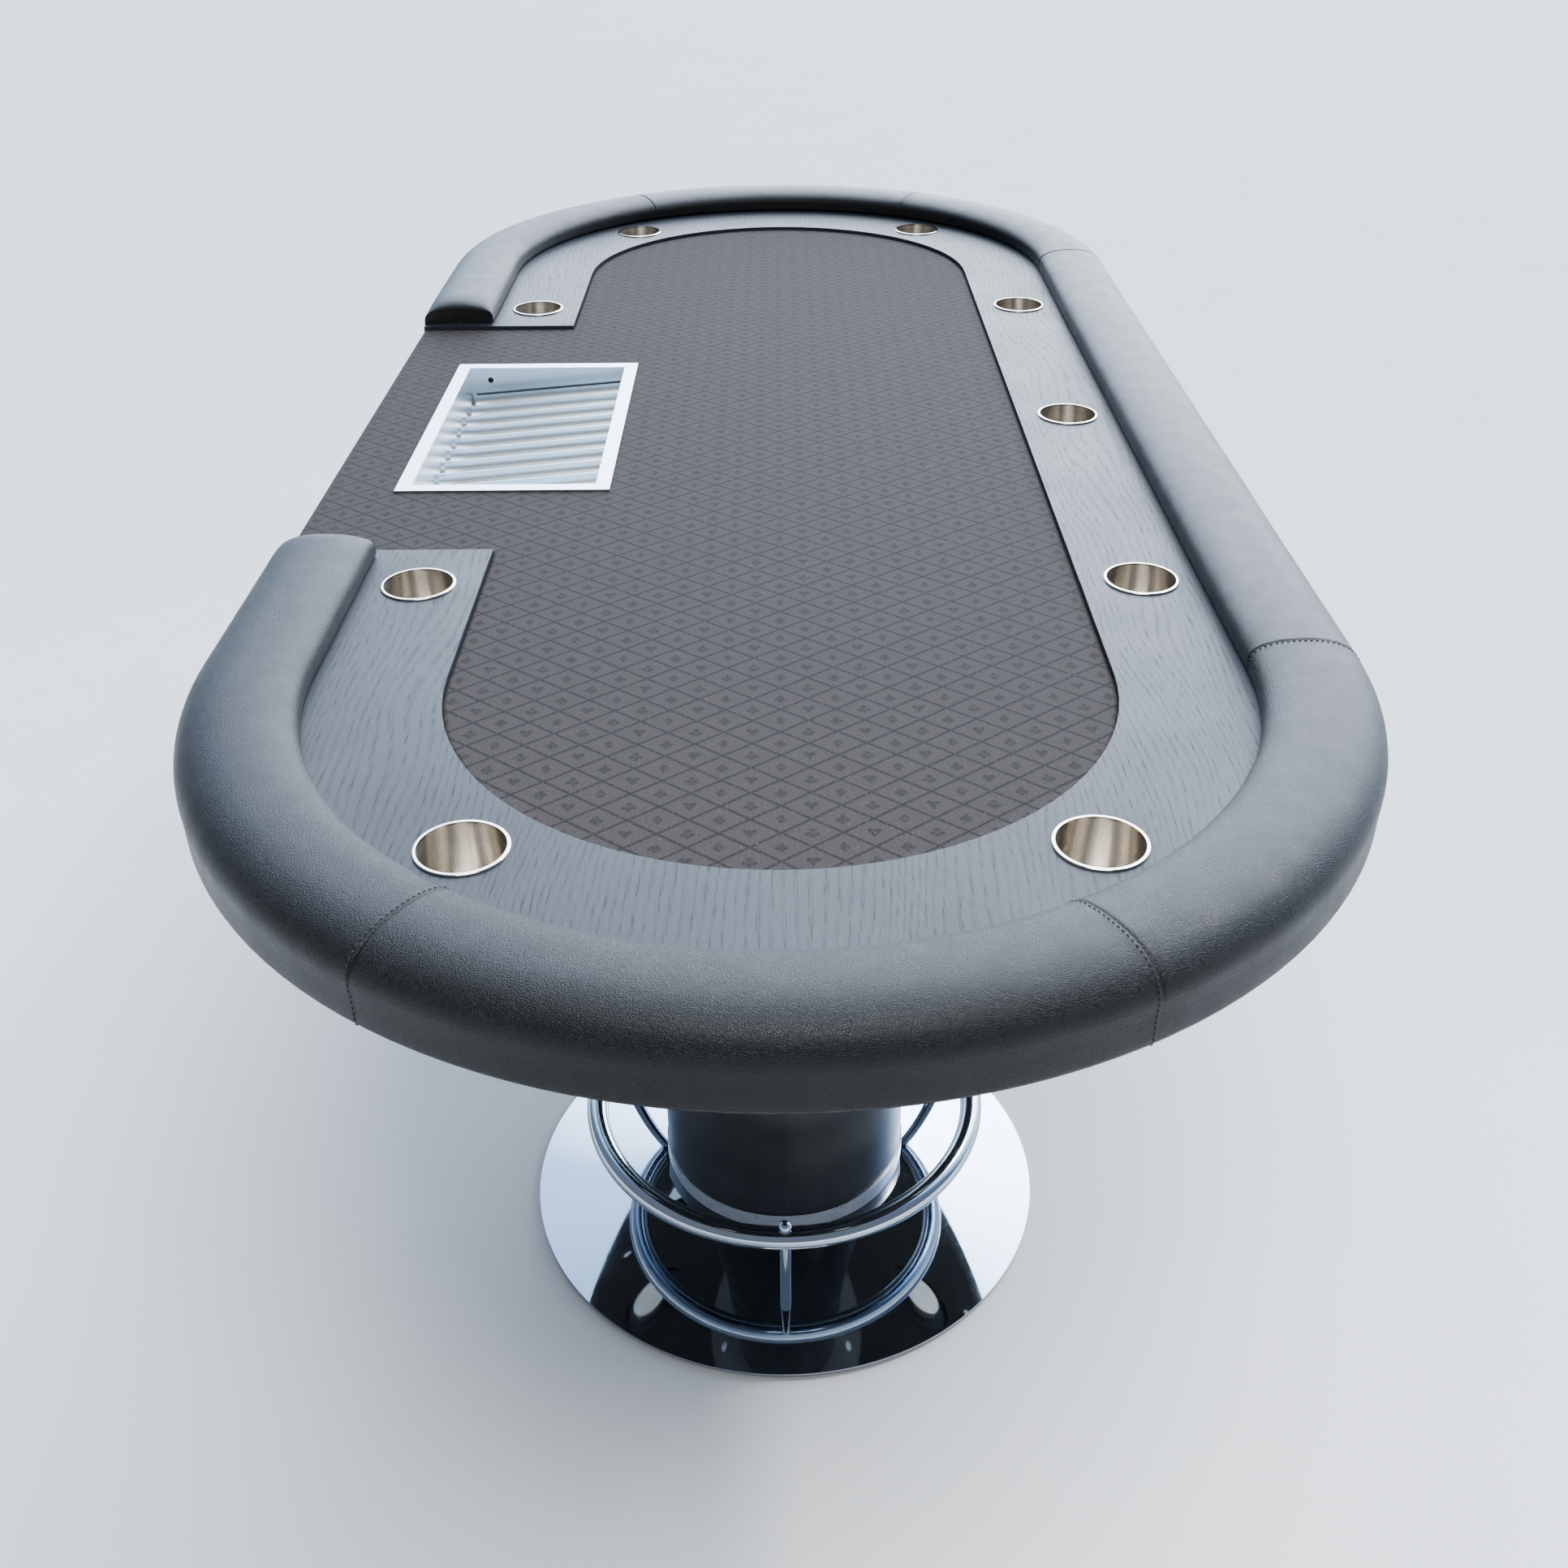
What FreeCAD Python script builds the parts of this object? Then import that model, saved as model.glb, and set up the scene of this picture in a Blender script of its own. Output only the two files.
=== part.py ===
import FreeCAD, Part
import math
import os

# Oval casino card table with a dealer position, nine cup holders, a chip tray
# and two pedestals with foot rings.  Units are millimetres.
#
# The origin is on the floor, under the middle of the table.  +X runs along the
# table to its near end, +Y to the long players' side, -Y to the dealer, +Z up.

V = FreeCAD.Vector
UP = V(0, 0, 1)
FULL_TURN = 360.0

# ---------------------------------------------------------------- table outline
# The outline is a stadium: two straight sides closed by two half circles.
HALF_STRAIGHT = 693.0        # centres of the end circles, at +X and -X
OUTER_RADIUS = 533.0         # outside face of the padded rail
RAIL_INNER_RADIUS = 429.0    # inside face of the padded rail
WINDOW_RADIUS = 307.5        # inner edge of the wooden racetrack
DEALER_CUT = 405.0           # where the racetrack stops, each side of the dealer
RAIL_END = 420.0             # where the rail stops, each side of the dealer

# ---------------------------------------------------------------- table heights
RACETRACK_TOP = 762.0
BOARD_THICKNESS = 18.0
DECK_TOP = RACETRACK_TOP - BOARD_THICKNESS
DECK_BOTTOM = DECK_TOP - BOARD_THICKNESS
DECK_JOINT_X = 350.0         # the deck is three boards, butted at +X and -X
PLAYFIELD_BOARD_THICKNESS = 9.0
PLAYFIELD_FOAM_THICKNESS = 3.0
CLOTH_THICKNESS = 1.0
CLOTH_DROP = 1.0             # the cloth hangs this far below the deck in front

# ---------------------------------------------------------------- padded rail
RAIL_TOP = 796.0
RAIL_SKIRT_BOTTOM = 724.0
RAIL_OUTER_ROUND = 33.0
RAIL_INNER_ROUND = 20.0
COVER_THICKNESS = 1.5
RAIL_BOARD_THICKNESS = 15.0
RAIL_BOARD_MARGIN = 12.0     # foam beside the rail board, inside and outside
EDGE_RADIUS = OUTER_RADIUS - COVER_THICKNESS

# Seams of the sewn cover, as angles about the end circles from +X.
NEAR_SEAM_DEALER = -34.0
NEAR_SEAM_PLAYER = 29.0
FAR_SEAM_PLAYER = 149.0
FAR_SEAM_DEALER = 211.5

# ---------------------------------------------------------------- cup holders
CUP_TRACK_RADIUS = 371.0
CUP_CORNER_ANGLE = 42.0
CUP_SIDE_X = 493.0
CUP_LIP_RADIUS = 38.5
CUP_LIP_HEIGHT = 2.0
CUP_INNER_RADIUS = 35.4
CUP_WALL = 0.9
CUP_BOTTOM = 700.0
CUP_HOLE_RADIUS = 37.2       # in the racetrack, just under the lip
CUP_BAY_RADIUS = 60.0        # in the deck below, well clear of the cup

# ---------------------------------------------------------------- chip tray
TRAY_HALF_LENGTH = 233.0     # outside of the flange, along X
TRAY_FRONT = -198.0          # outside of the flange, players' side
TRAY_BACK = -449.0           # outside of the flange, dealer's side
TRAY_FLANGE_WIDTH = 17.5
TRAY_FLANGE_THICKNESS = 2.5
TRAY_WALL = 1.5
TRAY_FLOOR_BOTTOM = 698.0
TRAY_HOLE_CLEARANCE = 1.5
CHANNEL_COUNT = 10
CHANNEL_PITCH = 42.1
CHANNEL_RADIUS = 20.4
CHANNEL_WALL = 1.6
CHANNEL_RIDGE_FRONT = 740.0  # height of the ridges at the players' end
CHANNEL_RIDGE_BACK = 722.5   # height of the ridges at the dealer's end
CHANNEL_END_GAP = 3.0        # between the channels and the ends of the tub
REST_BAR_WIDTH = 12.0
REST_BAR_GAP = 0.5           # under the channels
LOCK_HOLE_RADIUS = 4.0
LOCK_HOLE_Y = -405.0
LOCK_HOLE_Z = 742.0

# ---------------------------------------------------------------- pedestals
PEDESTAL_X = 577.0
COLUMN_RADIUS = 140.0
COLUMN_WALL = 3.0
BAND_BOTTOM = 57.0
BAND_HEIGHT = 20.0
BAND_THICKNESS = 1.5
BASE_RADIUS = 300.0
BASE_RIM_BOTTOM = 3.0
BASE_RIM_TOP = 6.0
BASE_NECK_RADIUS = 144.0
BASE_NECK_HEIGHT = 38.0
BASE_SHEET = 1.5
WEIGHT_PLATE_RADIUS = 262.0
WEIGHT_PLATE_TOP = 9.0
WEIGHT_DISC_RADIUS = 140.0
PAD_RADIUS = 18.0
PAD_CIRCLE = 235.0
PAD_COUNT = 6
TOP_PLATE_RADIUS = 200.0
TOP_PLATE_THICKNESS = 8.0
TIE_ROD_RADIUS = 8.0
TIE_ROD_BOTTOM = 6.0
TIE_NUT_FLATS = 24.0
TIE_NUT_HEIGHT = 13.0
TIE_NUT_POCKET_RADIUS = 20.0
PLATE_SCREW_CIRCLE = 172.0
PLATE_SCREW_COUNT = 8

# ---------------------------------------------------------------- foot rings
RING_RADIUS = 221.5
RING_HEIGHT = 131.0
RING_TUBE_RADIUS = 12.5
RING_TUBE_WALL = 1.5
POST_RADIUS = 6.5
POST_COUNT = 3
STUD_RADIUS = 4.0
STUD_TOP = 150.0
DOME_NUT_RADIUS = 7.0
DOME_NUT_HEIGHT = 148.5

# ---------------------------------------------------------------- fasteners
SHANK_RADIUS = 3.0
SHANK_CLEARANCE = 0.1
HEAD_RADIUS = 7.0
HEAD_HEIGHT = 4.0
SCREW_TIP_MARGIN = 3.0       # solid board left above the tip of a screw
RAIL_BOLT_ANGLES = (-80.0, -50.0, -18.0, 18.0, 50.0, 80.0)
RAIL_BOLT_PLAYER_X = (-480.0, -160.0, 160.0, 480.0)
RAIL_BOLT_DEALER_X = (-560.0, 560.0)
RAIL_BOLT_RADIUS = 480.0     # distance of the rail bolts from the centre line
PLAYFIELD_SCREWS = ((-820.0, 0.0), (820.0, 0.0), (-310.0, 230.0), (310.0, 230.0),
                    (-330.0, -480.0), (330.0, -480.0))

NEAR, FAR = 1, -1
PLAYER_SIDE, DEALER_SIDE = 1, -1
PEDESTAL_AXES = (NEAR * PEDESTAL_X, FAR * PEDESTAL_X)


# ================================================================ plain helpers
def save(name, shape):
    """Write one sub-part under its own name."""
    shape.exportStep("parts/" + name + ".step")


def cylinder(radius, bottom, top, x=0.0, y=0.0):
    """An upright cylinder between two heights."""
    return Part.makeCylinder(radius, top - bottom, V(x, y, bottom), UP)


def tube(outer, inner, bottom, top, x=0.0, y=0.0):
    """An upright tube between two heights."""
    return cylinder(outer, bottom, top, x, y).cut(cylinder(inner, bottom, top, x, y))


def block(x0, x1, y0, y1, bottom, top):
    """A box between its two corners."""
    return Part.makeBox(x1 - x0, y1 - y0, top - bottom, V(x0, y0, bottom))


def group(solids):
    """Separate solids of one kind that share one node."""
    return Part.makeCompound(solids)


def closed_face(points):
    """A flat face with straight sides, from points in the X-Z plane."""
    corners = [V(x, 0, z) for x, z in points]
    return Part.Face(Part.makePolygon(corners + corners[:1]))


def turned(face):
    """A face in the X-Z plane turned once round the upright axis."""
    return face.revolve(V(0, 0, 0), UP, FULL_TURN)


def stadium(radius, bottom, top):
    """The outline of the table at a distance from its centre line."""
    ends = [cylinder(radius, bottom, top, side * HALF_STRAIGHT) for side in (NEAR, FAR)]
    middle = block(-HALF_STRAIGHT, HALF_STRAIGHT, -radius, radius, bottom, top)
    return middle.fuse(ends).removeSplitter()


def dealer_bay(front, bottom, top):
    """The block between the two racetrack ends, from the middle to the dealer."""
    return block(-DEALER_CUT, DEALER_CUT, -front, 0.0, bottom, top)


# ================================================================ where things go
def cup_places():
    """Centres of the nine cup holders, round the racetrack from the dealer's right."""
    angle = math.radians(CUP_CORNER_ANGLE)
    corner_x = HALF_STRAIGHT + CUP_TRACK_RADIUS * math.cos(angle)
    corner_y = CUP_TRACK_RADIUS * math.sin(angle)
    places = [(CUP_SIDE_X, -CUP_TRACK_RADIUS), (corner_x, -corner_y), (corner_x, corner_y)]
    places += [(CUP_SIDE_X, CUP_TRACK_RADIUS), (0.0, CUP_TRACK_RADIUS)]
    places += [(-CUP_SIDE_X, CUP_TRACK_RADIUS), (-corner_x, corner_y)]
    places += [(-corner_x, -corner_y), (-CUP_SIDE_X, -CUP_TRACK_RADIUS)]
    return places


def rail_bolt_places():
    """Centres of the bolts that hold the rail board down."""
    places = [(x, RAIL_BOLT_RADIUS) for x in RAIL_BOLT_PLAYER_X]
    places += [(x, -RAIL_BOLT_RADIUS) for x in RAIL_BOLT_DEALER_X]
    for side in (NEAR, FAR):
        for degrees in RAIL_BOLT_ANGLES:
            angle = math.radians(degrees)
            x = side * (HALF_STRAIGHT + RAIL_BOLT_RADIUS * math.cos(angle))
            places.append((x, RAIL_BOLT_RADIUS * math.sin(angle)))
    return places


def ring_places(radius, count, first_angle=0.0):
    """Evenly spaced places on a circle round a pedestal's axis."""
    step = FULL_TURN / count
    angles = [math.radians(first_angle + step * number) for number in range(count)]
    return [(radius * math.cos(angle), radius * math.sin(angle)) for angle in angles]


def plate_screw_places(axis_x):
    """Centres of the screws of one pedestal's top plate."""
    first = FULL_TURN / PLATE_SCREW_COUNT / 2
    circle = ring_places(PLATE_SCREW_CIRCLE, PLATE_SCREW_COUNT, first)
    return [(axis_x + x, y) for x, y in circle]


# ================================================================ fasteners
def headed_bolt(x, y, head_top, tip):
    """A round-headed bolt that enters upward from below."""
    head = cylinder(HEAD_RADIUS, head_top - HEAD_HEIGHT, head_top, x, y)
    head = head.makeFillet(1.5, [head.Edges[2]])
    return head.fuse(cylinder(SHANK_RADIUS, head_top, tip, x, y))


def shank_holes(places, bottom, top):
    """Clearance holes for the shanks of bolts."""
    radius = SHANK_RADIUS + SHANK_CLEARANCE
    return [cylinder(radius, bottom, top, x, y) for x, y in places]


# ================================================================ table top
def tray_opening(bottom, top):
    """The cut-out that the chip tray drops into."""
    side = TRAY_HALF_LENGTH - TRAY_FLANGE_WIDTH + TRAY_WALL + TRAY_HOLE_CLEARANCE
    front = TRAY_FRONT - TRAY_FLANGE_WIDTH + TRAY_WALL + TRAY_HOLE_CLEARANCE
    back = TRAY_BACK + TRAY_FLANGE_WIDTH - TRAY_WALL - TRAY_HOLE_CLEARANCE
    return block(-side, side, back, front, bottom, top)


def cup_openings(radius, bottom, top):
    """The round holes that the cup holders drop into."""
    return [cylinder(radius, bottom, top, x, y) for x, y in cup_places()]


def playfield_layer(bottom, top, front):
    """One layer of the playing surface, with its cut-out for the chip tray."""
    layer = stadium(WINDOW_RADIUS, bottom, top).fuse(dealer_bay(front, bottom, top))
    return layer.removeSplitter().cut(tray_opening(bottom, top))


def make_deck_boards():
    """The structural boards that everything is built on.

    The near and far boards are each two lengths, butted through the corner cups."""
    cuts = cup_openings(CUP_BAY_RADIUS, DECK_BOTTOM, DECK_TOP)
    cuts.append(tray_opening(DECK_BOTTOM, DECK_TOP))
    cuts += shank_holes(rail_bolt_places(), DECK_BOTTOM, DECK_TOP)
    cuts += shank_holes(PLAYFIELD_SCREWS, DECK_BOTTOM, DECK_TOP)
    plate_screw_tip = DECK_TOP - SCREW_TIP_MARGIN
    for axis_x in PEDESTAL_AXES:
        cuts += shank_holes(plate_screw_places(axis_x), DECK_BOTTOM, plate_screw_tip)
        cuts.append(cylinder(TIE_NUT_POCKET_RADIUS, DECK_BOTTOM, DECK_TOP, axis_x))
    deck = stadium(EDGE_RADIUS, DECK_BOTTOM, DECK_TOP).cut(cuts)
    tip = HALF_STRAIGHT + OUTER_RADIUS
    corner_x = HALF_STRAIGHT + CUP_TRACK_RADIUS * math.cos(math.radians(CUP_CORNER_ANGLE))
    joints = {"near": (DECK_JOINT_X, corner_x, tip), "far": (-tip, -corner_x, -DECK_JOINT_X),
              "middle": (-DECK_JOINT_X, DECK_JOINT_X)}
    for place, ends in joints.items():
        lengths = []
        for x0, x1 in zip(ends, ends[1:]):
            stretch = block(x0, x1, -OUTER_RADIUS, OUTER_RADIUS, DECK_BOTTOM, DECK_TOP)
            lengths.append(deck.common(stretch).Solids[0])
        save("deck_board_" + place, group(lengths))


def racetrack_joints():
    """Upright faces square across the racetrack, where its lengths butt.

    There is one through each cup holder, one where each straight side meets an
    end, and one at the tip of each end."""
    tip = HALF_STRAIGHT + CUP_TRACK_RADIUS
    places = cup_places() + [(NEAR * tip, 0.0), (FAR * tip, 0.0)]
    for end in (NEAR, FAR):
        places.append((end * HALF_STRAIGHT, PLAYER_SIDE * CUP_TRACK_RADIUS))
        places.append((end * HALF_STRAIGHT, DEALER_SIDE * CUP_TRACK_RADIUS))
    joints = []
    for x, y in places:
        centre = V(max(-HALF_STRAIGHT, min(HALF_STRAIGHT, x)), 0, DECK_TOP)
        across = V(x - centre.x, y, 0).normalize()
        line = Part.makeLine(centre, centre + across * OUTER_RADIUS)
        joints.append(line.extrude(UP * BOARD_THICKNESS))
    return joints


def make_racetrack():
    """The veneered wooden track round the playing surface, open at the dealer."""
    track = stadium(EDGE_RADIUS, DECK_TOP, RACETRACK_TOP)
    track = track.cut(stadium(WINDOW_RADIUS, DECK_TOP, RACETRACK_TOP))
    track = track.cut(dealer_bay(OUTER_RADIUS, DECK_TOP, RACETRACK_TOP))
    cuts = cup_openings(CUP_HOLE_RADIUS, DECK_TOP, RACETRACK_TOP)
    cuts += shank_holes(rail_bolt_places(), DECK_TOP, RACETRACK_TOP)
    lengths = track.cut(cuts).generalFuse(racetrack_joints())[0].Solids
    save("racetrack", group(lengths))


def make_playfield():
    """Board, foam and cloth of the playing surface, from the deck up."""
    board_top = DECK_TOP + PLAYFIELD_BOARD_THICKNESS
    foam_top = board_top + PLAYFIELD_FOAM_THICKNESS
    cloth_top = foam_top + CLOTH_THICKNESS
    front = EDGE_RADIUS + COVER_THICKNESS - CLOTH_THICKNESS
    board = playfield_layer(DECK_TOP, board_top, EDGE_RADIUS)
    screw_tip = board_top - SCREW_TIP_MARGIN
    board = board.cut(shank_holes(PLAYFIELD_SCREWS, DECK_TOP, screw_tip))
    foam = playfield_layer(board_top, foam_top, EDGE_RADIUS)
    cloth = playfield_layer(foam_top, cloth_top, front)
    drop_bottom = DECK_BOTTOM - CLOTH_DROP
    apron = block(-DEALER_CUT, DEALER_CUT, -front, -EDGE_RADIUS, drop_bottom, foam_top)
    cloth = cloth.fuse(apron).removeSplitter()
    save("playfield_board", board)
    save("playfield_foam", foam)
    save("playfield_cloth", cloth)
    screws = [headed_bolt(x, y, DECK_BOTTOM, screw_tip) for x, y in PLAYFIELD_SCREWS]
    save("playfield_screws", group(screws))
    return cloth_top


# ================================================================ padded rail
def rail_section(inset, bottom):
    """The rail's closed outline in the X-Z plane, X being the distance outward."""
    inner = RAIL_INNER_RADIUS + inset
    outer = OUTER_RADIUS - inset
    top = RAIL_TOP - inset
    inner_round = RAIL_INNER_ROUND - inset
    outer_round = RAIL_OUTER_ROUND - inset
    corner = math.sqrt(0.5)
    inner_mid = V(inner + inner_round * (1 - corner), 0, top - inner_round * (1 - corner))
    outer_mid = V(outer - outer_round * (1 - corner), 0, top - outer_round * (1 - corner))
    wall_top = V(inner, 0, top - inner_round)
    crown_start = V(inner + inner_round, 0, top)
    crown_end = V(outer - outer_round, 0, top)
    side_top = V(outer, 0, top - outer_round)
    edges = [Part.LineSegment(V(inner, 0, RACETRACK_TOP), wall_top).toShape()]
    edges.append(Part.Arc(wall_top, inner_mid, crown_start).toShape())
    edges.append(Part.LineSegment(crown_start, crown_end).toShape())
    edges.append(Part.Arc(crown_end, outer_mid, side_top).toShape())
    edges.append(Part.LineSegment(side_top, V(outer, 0, bottom)).toShape())
    if bottom < RACETRACK_TOP:
        skirt = EDGE_RADIUS
        edges.append(Part.LineSegment(V(outer, 0, bottom), V(skirt, 0, bottom)).toShape())
        edges.append(Part.LineSegment(V(skirt, 0, bottom), V(skirt, 0, RACETRACK_TOP)).toShape())
        last = V(skirt, 0, RACETRACK_TOP)
    else:
        last = V(outer, 0, bottom)
    edges.append(Part.LineSegment(last, V(inner, 0, RACETRACK_TOP)).toShape())
    return Part.Face(Part.Wire(edges))


def board_section():
    """The rail board's outline in the X-Z plane."""
    inner = RAIL_INNER_RADIUS + RAIL_BOARD_MARGIN
    outer = OUTER_RADIUS - RAIL_BOARD_MARGIN
    top = RACETRACK_TOP + RAIL_BOARD_THICKNESS
    return closed_face([(inner, RACETRACK_TOP), (outer, RACETRACK_TOP), (outer, top), (inner, top)])


def bend(section, end, start_angle, end_angle):
    """A section carried round one of the two end circles."""
    face = section.copy()
    face.rotate(V(0, 0, 0), UP, start_angle)
    face.translate(V(end * HALF_STRAIGHT, 0, 0))
    return face.revolve(V(end * HALF_STRAIGHT, 0, 0), UP, end_angle - start_angle)


def straight(section, side, x0, x1):
    """A section carried along one of the two straight sides."""
    face = section.copy()
    face.rotate(V(0, 0, 0), UP, side * FULL_TURN / 4)
    face.translate(V(x0, 0, 0))
    return face.extrude(V(x1 - x0, 0, 0))


def joined(pieces):
    """Runs of one section joined into one solid."""
    return pieces[0].fuse(pieces[1:]).removeSplitter()


def rail_thirds(section, end_x):
    """The rail's near end, players' side and far end as three solids."""
    near = joined([straight(section, DEALER_SIDE, end_x, HALF_STRAIGHT), bend(section, NEAR, -90, 90)])
    side = straight(section, PLAYER_SIDE, -HALF_STRAIGHT, HALF_STRAIGHT)
    far = joined([bend(section, FAR, 90, 270), straight(section, DEALER_SIDE, -HALF_STRAIGHT, -end_x)])
    return {"near_end": near, "player_side": side, "far_end": far}


def make_rail_core():
    """The rail boards, their foam and the bolts that hold them."""
    board_end = RAIL_END + RAIL_BOARD_MARGIN
    foam_end = RAIL_END + COVER_THICKNESS
    tip = RACETRACK_TOP + RAIL_BOARD_THICKNESS - SCREW_TIP_MARGIN
    holes = shank_holes(rail_bolt_places(), RACETRACK_TOP, tip)
    boards = rail_thirds(board_section(), board_end)
    foams = rail_thirds(rail_section(COVER_THICKNESS, RACETRACK_TOP), foam_end)
    for name, board in boards.items():
        save("rail_board_" + name, board.cut(holes))
        save("rail_foam_" + name, foams[name].cut(board))
    bolts = [headed_bolt(x, y, DECK_BOTTOM, tip) for x, y in rail_bolt_places()]
    save("rail_bolts", group(bolts))


def make_rail_covers():
    """The seven sewn panels of the rail's cover, each a thin folded shell."""
    outside = rail_section(0.0, RAIL_SKIRT_BOTTOM)
    inside = rail_section(COVER_THICKNESS, RACETRACK_TOP)
    skin = outside.cut(inside).Faces[0]
    near_cap = straight(outside, DEALER_SIDE, RAIL_END, RAIL_END + COVER_THICKNESS)
    far_cap = straight(outside, DEALER_SIDE, -RAIL_END - COVER_THICKNESS, -RAIL_END)
    panels = {
        "dealer_near": [straight(skin, DEALER_SIDE, RAIL_END, HALF_STRAIGHT),
                        bend(skin, NEAR, -90, NEAR_SEAM_DEALER), near_cap],
        "near_end": [bend(skin, NEAR, NEAR_SEAM_DEALER, NEAR_SEAM_PLAYER)],
        "near_corner": [bend(skin, NEAR, NEAR_SEAM_PLAYER, 90)],
        "player_side": [straight(skin, PLAYER_SIDE, -HALF_STRAIGHT, HALF_STRAIGHT)],
        "far_corner": [bend(skin, FAR, 90, FAR_SEAM_PLAYER)],
        "far_end": [bend(skin, FAR, FAR_SEAM_PLAYER, FAR_SEAM_DEALER)],
        "dealer_far": [straight(skin, DEALER_SIDE, -HALF_STRAIGHT, -RAIL_END),
                       bend(skin, FAR, FAR_SEAM_DEALER, 270), far_cap],
    }
    for name, pieces in panels.items():
        shape = joined(pieces) if len(pieces) > 1 else pieces[0]
        save("rail_cover_" + name, shape)


# ================================================================ cup holders
def make_cup(x, y):
    """A drawn steel cup with a flat rolled lip that rests on the racetrack."""
    outer = CUP_INNER_RADIUS + CUP_WALL
    lip_top = RACETRACK_TOP + CUP_LIP_HEIGHT
    section = closed_face([
        (0, CUP_BOTTOM), (outer, CUP_BOTTOM), (outer, RACETRACK_TOP),
        (CUP_LIP_RADIUS, RACETRACK_TOP), (CUP_LIP_RADIUS, lip_top),
        (CUP_INNER_RADIUS, lip_top), (CUP_INNER_RADIUS, CUP_BOTTOM + CUP_WALL),
        (0, CUP_BOTTOM + CUP_WALL)])
    cup = turned(section)
    lip_edges = [edge for edge in cup.Edges if abs(edge.BoundBox.ZMin - lip_top) < 1e-6]
    rounded_lip = [edge for edge in lip_edges if edge.BoundBox.ZMax - lip_top < 1e-6
                   and edge.BoundBox.XMax > CUP_INNER_RADIUS + CUP_WALL]
    cup = cup.makeFillet(CUP_LIP_HEIGHT * 0.6, rounded_lip)
    foot = [edge for edge in cup.Edges if edge.BoundBox.ZMax < CUP_BOTTOM + 1e-6
            and edge.BoundBox.XMax > CUP_INNER_RADIUS]
    cup = cup.makeChamfer(CUP_WALL * 0.6, foot)
    cup.translate(V(x, y, 0))
    return cup


# ================================================================ chip tray
def make_tray(cloth_top):
    """The chip tray: flange, tub, ten half-round channels and their rest bar."""
    inner_x = TRAY_HALF_LENGTH - TRAY_FLANGE_WIDTH
    inner_front = TRAY_FRONT - TRAY_FLANGE_WIDTH
    inner_back = TRAY_BACK + TRAY_FLANGE_WIDTH
    flange_top = cloth_top + TRAY_FLANGE_THICKNESS

    flange = block(-TRAY_HALF_LENGTH, TRAY_HALF_LENGTH, TRAY_BACK, TRAY_FRONT, cloth_top, flange_top)
    flange = flange.cut(block(-inner_x, inner_x, inner_back, inner_front, cloth_top, flange_top))
    save("tray_flange", flange)

    # The tub is five sheets that meet at its edges.
    outer_x = inner_x + TRAY_WALL
    outer_front = inner_front + TRAY_WALL
    outer_back = inner_back - TRAY_WALL
    floor_top = TRAY_FLOOR_BOTTOM + TRAY_WALL
    floor = block(-outer_x, outer_x, outer_back, outer_front, TRAY_FLOOR_BOTTOM, floor_top)
    front = block(-outer_x, outer_x, inner_front, outer_front, floor_top, cloth_top)
    back = block(-outer_x, outer_x, outer_back, inner_back, floor_top, cloth_top)
    near_side = block(inner_x, outer_x, inner_back, inner_front, floor_top, cloth_top)
    far_side = block(-outer_x, -inner_x, inner_back, inner_front, floor_top, cloth_top)
    lock_start = V(-outer_x - TRAY_WALL, LOCK_HOLE_Y, LOCK_HOLE_Z)
    lock_hole = Part.makeCylinder(LOCK_HOLE_RADIUS, 3 * TRAY_WALL, lock_start, V(1, 0, 0))
    save("tray_tub", group([floor, front, back, near_side, far_side.cut(lock_hole)]))

    # The channels are made level, with the dealer's end of their ridge line at
    # the origin, and are then tipped down toward the dealer.
    length = inner_front - inner_back - 2 * CHANNEL_END_GAP
    slope = math.degrees(math.atan2(CHANNEL_RIDGE_FRONT - CHANNEL_RIDGE_BACK, length))
    depth = CHANNEL_RADIUS + CHANNEL_WALL
    lift = depth * math.cos(math.radians(slope))
    channels = []
    for number in range(CHANNEL_COUNT):
        x = (number - (CHANNEL_COUNT - 1) / 2) * CHANNEL_PITCH
        shell = Part.makeCylinder(depth, length, V(x, 0, 0), V(0, 1, 0))
        bore = Part.makeCylinder(CHANNEL_RADIUS, length, V(x, 0, 0), V(0, 1, 0))
        keep = block(x - CHANNEL_PITCH / 2, x + CHANNEL_PITCH / 2, 0, length, -depth, 0)
        channel = shell.common(keep).cut(bore)
        channel.rotate(V(0, 0, 0), V(1, 0, 0), slope)
        channel.translate(V(0, inner_back + CHANNEL_END_GAP, floor_top + lift))
        channels.append(channel)
    save("tray_channels", group(channels))

    bar_front = inner_front - CHANNEL_END_GAP
    bar_back = bar_front - REST_BAR_WIDTH
    run = bar_back - (inner_back + CHANNEL_END_GAP)
    bar_top = floor_top + run * math.tan(math.radians(slope)) - REST_BAR_GAP
    bar_half = (CHANNEL_COUNT - 1) * CHANNEL_PITCH / 2
    bar = block(-bar_half, bar_half, bar_back, bar_front, floor_top, bar_top)
    save("tray_rest_bar", bar)


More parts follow.
